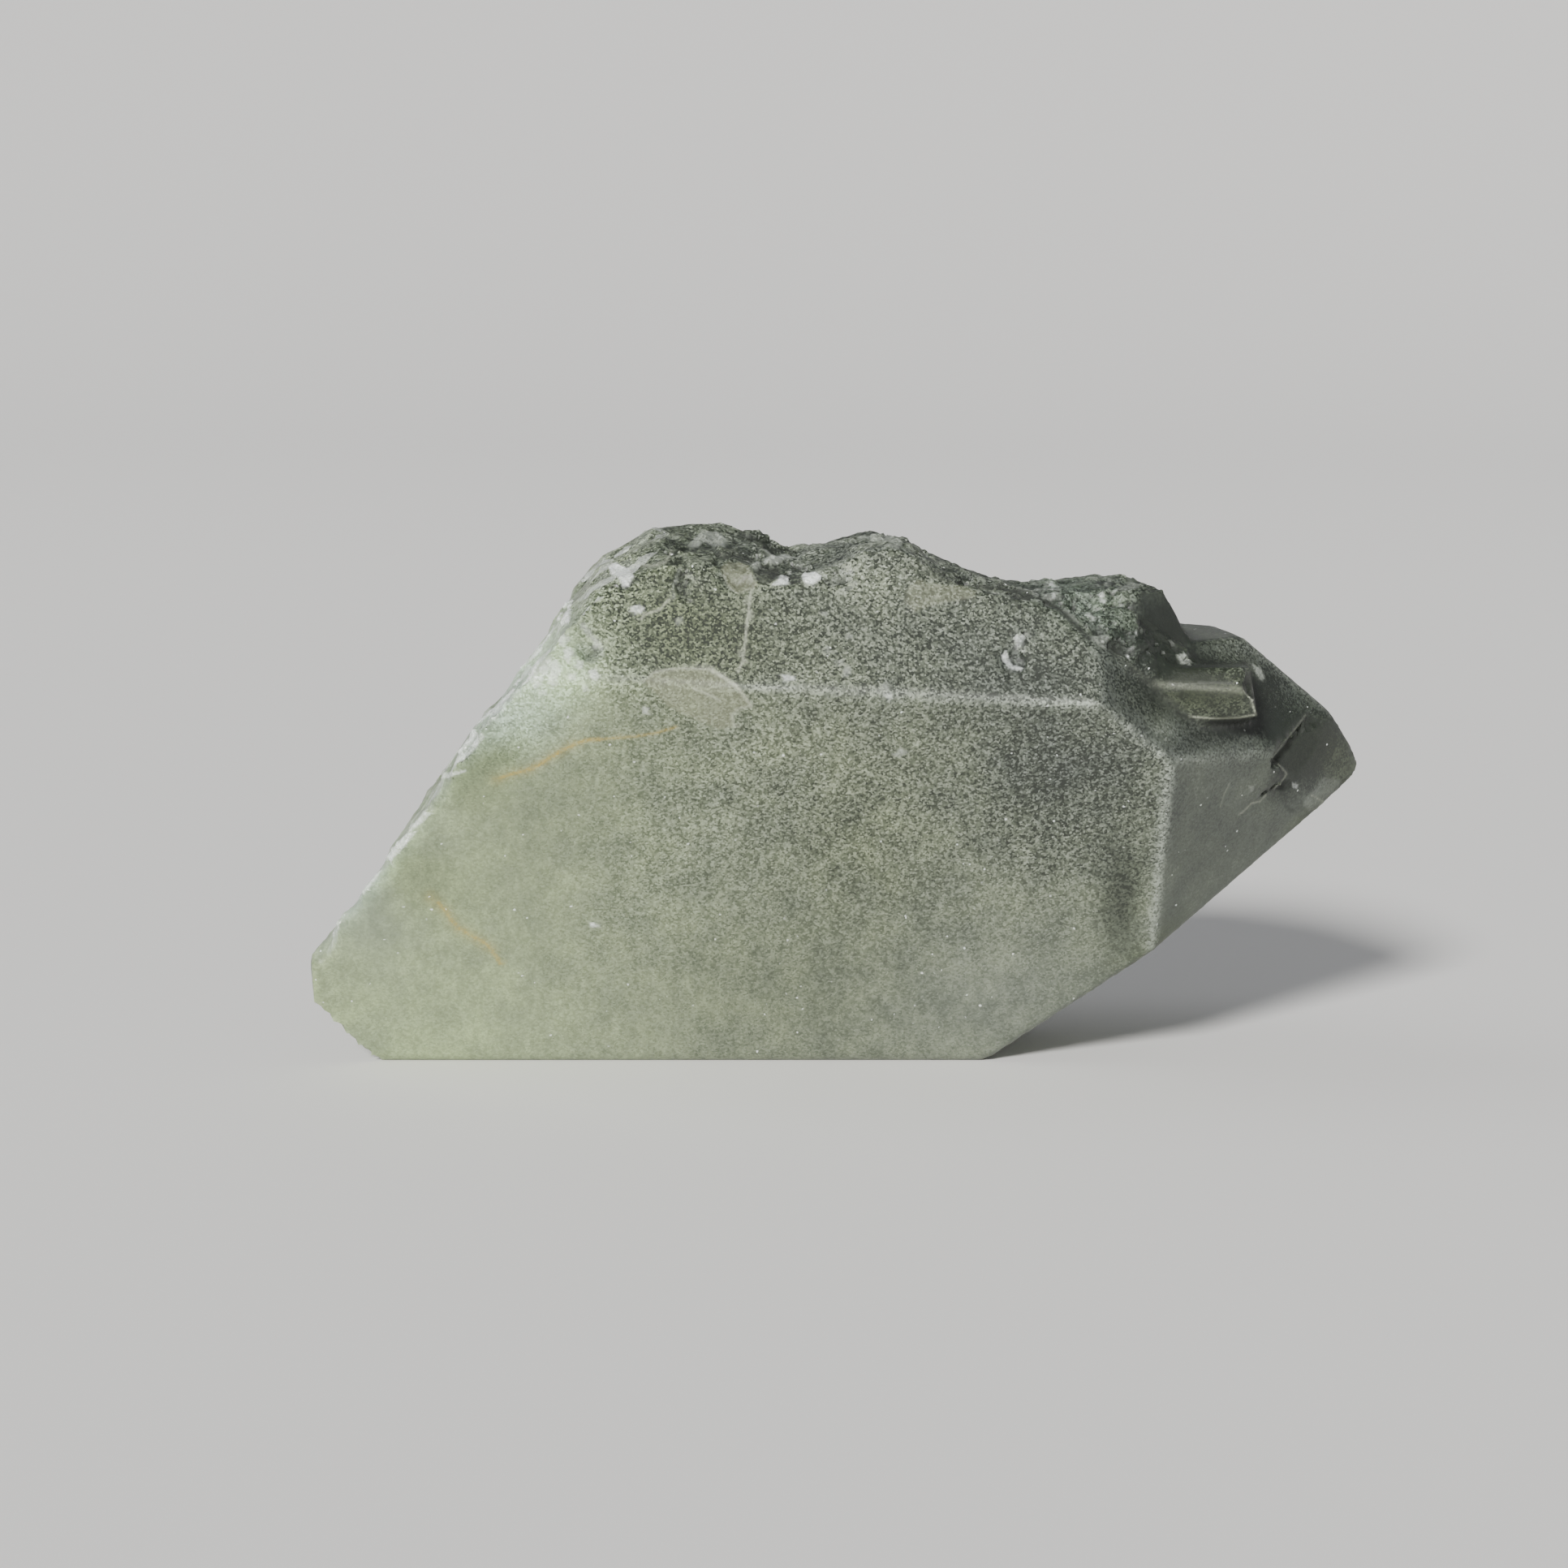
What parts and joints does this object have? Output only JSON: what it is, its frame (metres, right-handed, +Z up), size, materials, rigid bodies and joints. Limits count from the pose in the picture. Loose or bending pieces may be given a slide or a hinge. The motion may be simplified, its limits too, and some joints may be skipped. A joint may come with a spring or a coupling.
{
  "type": "quartz crystal with chlorite",
  "caption": "Pointed hexagonal quartz crystal lying on its side, green with chlorite, broken at one end and rough along the top.",
  "frame": {"origin": "centre of the crystal's bounding box in X and Y, on the surface that it rests on", "axes": "+X along the crystal towards its point, +Z up, and the big clear face looks towards -Y"},
  "size_m": [0.0638, 0.0328, 0.0323],
  "materials": {
    "chlorite_quartz": "frosted, cloudy grey-green crystal faces with glassy chips on the broken edges"
  },
  "bodies": {
    "root": {"quartz_crystal": "chlorite_quartz"}
  },
  "joints": []
}
